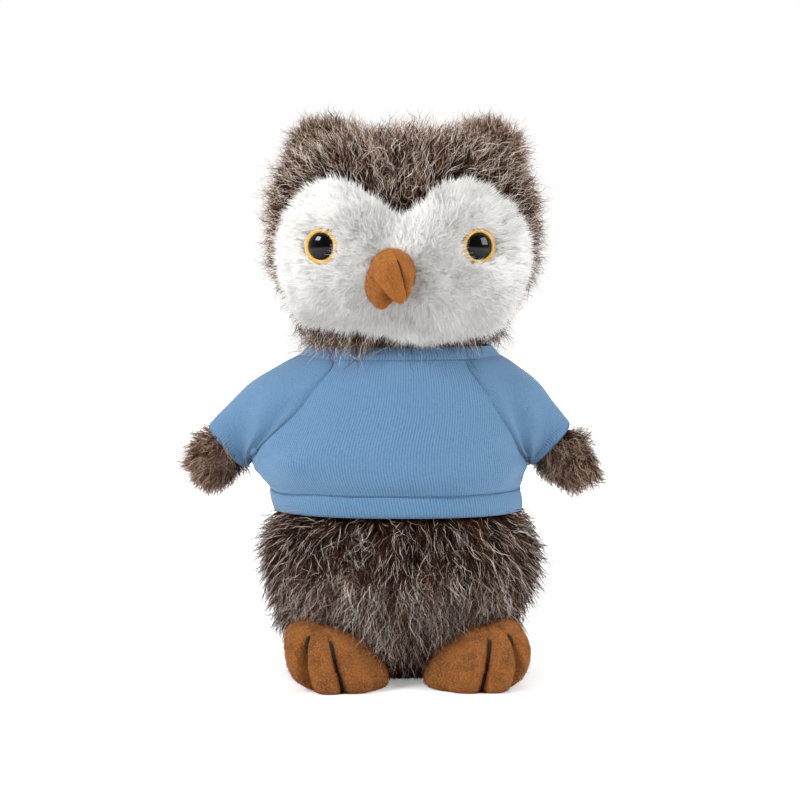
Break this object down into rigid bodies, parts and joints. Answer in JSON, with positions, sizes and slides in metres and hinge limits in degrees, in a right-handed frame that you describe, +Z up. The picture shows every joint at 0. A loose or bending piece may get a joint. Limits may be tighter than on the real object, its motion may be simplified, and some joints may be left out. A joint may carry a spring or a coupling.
{
  "type": "plush owl",
  "caption": "Standing plush owl with long brown pile, white face, felt beak and feet, plastic eyes, stuffed wings and a blue jersey shirt.",
  "frame": {"origin": "centre of the body's flat underside", "axes": "+Z up, the owl faces -Y, its own left side is at +X"},
  "size_m": [0.115, 0.0768, 0.1536],
  "materials": {
    "brown_fur": "long dark brown pile with pale frosted tips, combed down",
    "ear_fur": "shorter reddish brown pile",
    "white_plush": "short dense soft white plush",
    "orange_felt": "orange brown felt with a short fuzz",
    "blue_jersey": "light blue single jersey with vertical wales",
    "polyester_filling": "loose white polyester fibre",
    "pellet_cloth": "plain woven cotton bag",
    "amber_plastic": "glossy amber yellow",
    "black_plastic": "high gloss black dome",
    "washer_plastic": "natural nylon",
    "black_thread": "black embroidery thread"
  },
  "bodies": {
    "body": {"body_fur_front": "brown_fur", "body_fur_back": "brown_fur", "body_base_panel": "brown_fur", "pellet_bag": "pellet_cloth", "body_stuffing": "polyester_filling", "shirt_front": "blue_jersey", "shirt_back": "blue_jersey", "shirt_neckband": "blue_jersey", "shirt_hem_band": "blue_jersey", "sleeve_left_shoulder": "blue_jersey", "sleeve_right_shoulder": "blue_jersey"},
    "neck": {"neck_stuffing": "polyester_filling"},
    "head": {"head_fur_left": "brown_fur", "head_fur_right": "brown_fur", "ear_left": "ear_fur", "ear_right": "ear_fur", "face_panel": "white_plush", "beak_upper": "orange_felt", "beak_lower": "orange_felt", "head_stuffing": "polyester_filling", "beak_stuffing": "polyester_filling", "eye_left_iris": "amber_plastic", "eye_right_iris": "amber_plastic", "eye_left_pupil": "black_plastic", "eye_right_pupil": "black_plastic", "eye_left_washer": "washer_plastic", "eye_right_washer": "washer_plastic", "beak_seam_thread": "black_thread"},
    "wing_left": {"wing_left_fur": "brown_fur", "wing_left_stuffing": "polyester_filling", "sleeve_left": "blue_jersey", "sleeve_left_cuff": "blue_jersey"},
    "wing_right": {"wing_right_fur": "brown_fur", "wing_right_stuffing": "polyester_filling", "sleeve_right": "blue_jersey", "sleeve_right_cuff": "blue_jersey"},
    "foot_left": {"foot_left_upper": "orange_felt", "foot_left_sole": "orange_felt", "foot_left_stuffing": "polyester_filling", "foot_left_toe_thread_inner": "black_thread", "foot_left_toe_thread_outer": "black_thread"},
    "foot_right": {"foot_right_upper": "orange_felt", "foot_right_sole": "orange_felt", "foot_right_stuffing": "polyester_filling", "foot_right_toe_thread_inner": "black_thread", "foot_right_toe_thread_outer": "black_thread"}
  },
  "joints": [
    {"name": "head_nod", "type": "hinge", "parent": "body", "child": "neck", "pos_m": [0, 0, 0.0926], "axis": [1, 0, 0], "range_deg": [-8, 8], "stiffness_Nm_per_rad": 0.06},
    {"name": "head_turn", "type": "hinge", "parent": "neck", "child": "head", "pos_m": [0, 0, 0.0926], "axis": [0, 0, 1], "range_deg": [-35, 35], "stiffness_Nm_per_rad": 0.02},
    {"name": "wing_left_lift", "type": "hinge", "parent": "body", "child": "wing_left", "pos_m": [0.0376, -0.001, 0.0715], "axis": [0, -1, 0], "range_deg": [-3, 60], "stiffness_Nm_per_rad": 0.01},
    {"name": "wing_right_lift", "type": "hinge", "parent": "body", "child": "wing_right", "pos_m": [-0.0376, -0.001, 0.0715], "axis": [0, 1, 0], "range_deg": [-3, 60], "stiffness_Nm_per_rad": 0.01},
    {"name": "foot_left_flex", "type": "hinge", "parent": "body", "child": "foot_left", "pos_m": [0.0152, -0.02074, 0], "axis": [0.866, 0.5, 0], "range_deg": [0, 25], "stiffness_Nm_per_rad": 0.01},
    {"name": "foot_right_flex", "type": "hinge", "parent": "body", "child": "foot_right", "pos_m": [-0.0146, -0.02102, 0], "axis": [0.9703, -0.2419, 0], "range_deg": [0, 25], "stiffness_Nm_per_rad": 0.01}
  ]
}
